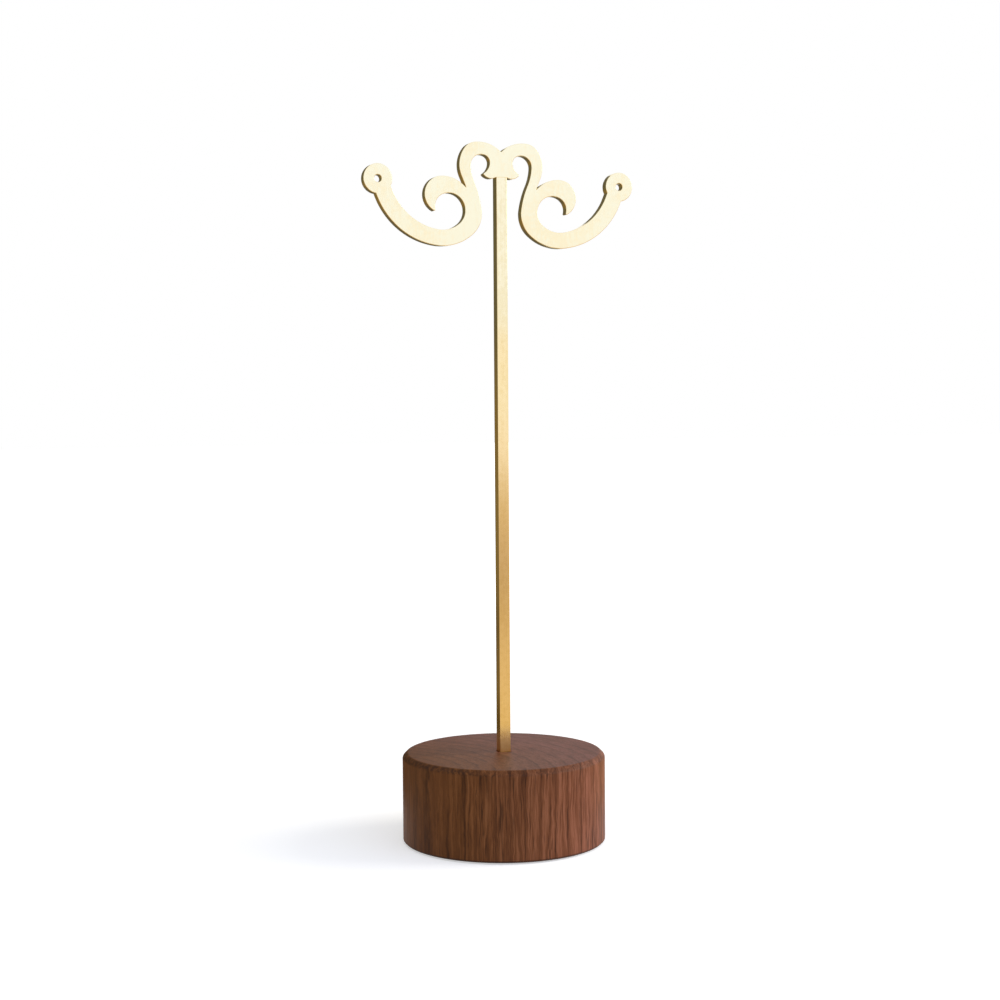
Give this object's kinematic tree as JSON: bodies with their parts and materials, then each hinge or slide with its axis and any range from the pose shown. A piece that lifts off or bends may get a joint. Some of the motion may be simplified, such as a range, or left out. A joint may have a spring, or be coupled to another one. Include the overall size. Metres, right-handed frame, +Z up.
{
  "type": "earring display stand",
  "caption": "Small stand: a turned wooden disc, an upright square brass post and a flat scrolled brass crossbar with a round hanging eye at the end of each arm.",
  "frame": {"origin": "centre of the underside, where the stand rests on a table", "axes": "+Z up along the post, -Y towards the front face of the crossbar, +X along the crossbar"},
  "size_m": [0.0764, 0.055, 0.1882],
  "materials": {
    "walnut": "oiled walnut, end grain on top",
    "felt": "thin pressed felt",
    "brushed_brass": "brushed along its length",
    "polished_brass": "satin polished sheet"
  },
  "bodies": {
    "base": {"base": "walnut", "base_pad": "felt"},
    "stem": {"post": "brushed_brass", "scroll_plate": "polished_brass"}
  },
  "joints": [
    {"name": "stem_lift", "type": "slide", "parent": "base", "child": "stem", "axis": [0, 0, 1], "range_m": [0, 0.017]}
  ]
}
